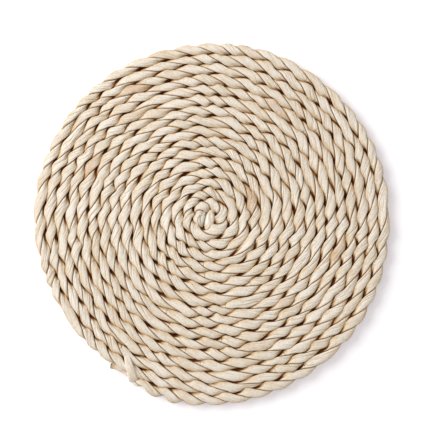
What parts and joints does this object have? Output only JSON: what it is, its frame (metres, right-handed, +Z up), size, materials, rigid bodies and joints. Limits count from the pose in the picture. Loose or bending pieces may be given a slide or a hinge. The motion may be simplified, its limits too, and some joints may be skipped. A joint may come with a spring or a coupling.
{
  "type": "woven corn husk mat",
  "caption": "Round flat mat of twisted husk rope, wound in a spiral from a small bud at the centre to a tail wrapped at the rim.",
  "frame": {"origin": "middle of the mat's outline, on the surface that it lies on; the spiral's own centre is 5 mm from it, towards -X and +Y", "axes": "+Z up out of the mat; +Y from the middle towards the side across from the tail; the rope winds clockwise seen from above"},
  "size_m": [0.2142, 0.2174, 0.0084],
  "materials": {
    "husk_pale": "matt dried husk, ivory, with fine lengthwise fibres",
    "husk_warm": "matt dried husk, warm cream, with fine lengthwise fibres",
    "husk_bud": "matt dried husk, folded tight",
    "husk_cut_end": "dry cut husk end, straw brown"
  },
  "bodies": {
    "root": {"husk_a_01": "husk_pale", "husk_a_02": "husk_pale", "husk_a_03": "husk_pale", "husk_a_04": "husk_pale", "husk_a_05": "husk_pale", "husk_a_06": "husk_pale", "husk_a_07": "husk_pale", "husk_a_08": "husk_pale", "husk_a_09": "husk_pale", "husk_a_10": "husk_pale", "husk_a_11": "husk_pale", "husk_a_12": "husk_pale", "husk_a_13": "husk_pale", "husk_a_14": "husk_pale", "husk_a_15": "husk_pale", "husk_a_16": "husk_pale", "husk_a_17": "husk_pale", "husk_a_18": "husk_pale", "husk_a_19": "husk_pale", "husk_a_20": "husk_pale", "husk_a_21": "husk_pale", "husk_a_22": "husk_pale", "husk_a_23": "husk_pale", "husk_a_24": "husk_pale", "husk_a_25": "husk_pale", "husk_a_26": "husk_pale", "husk_a_27": "husk_pale", "husk_b_01": "husk_warm", "husk_b_02": "husk_warm", "husk_b_03": "husk_warm", "husk_b_04": "husk_warm", "husk_b_05": "husk_warm", "husk_b_06": "husk_warm", "husk_b_07": "husk_warm", "husk_b_08": "husk_warm", "husk_b_09": "husk_warm", "husk_b_10": "husk_warm", "husk_b_11": "husk_warm", "husk_b_12": "husk_warm", "husk_b_13": "husk_warm", "husk_b_14": "husk_warm", "husk_b_15": "husk_warm", "husk_b_16": "husk_warm", "husk_b_17": "husk_warm", "husk_b_18": "husk_warm", "husk_b_19": "husk_warm", "husk_b_20": "husk_warm", "husk_b_21": "husk_warm", "husk_b_22": "husk_warm", "husk_b_23": "husk_warm", "husk_b_24": "husk_warm", "husk_b_25": "husk_warm", "husk_b_26": "husk_warm", "husk_b_27": "husk_warm", "husk_b_28": "husk_warm", "bud_strand_inner": "husk_bud", "bud_strand_outer": "husk_bud", "tail_wrap": "husk_pale", "tail_stub": "husk_cut_end"}
  },
  "joints": []
}
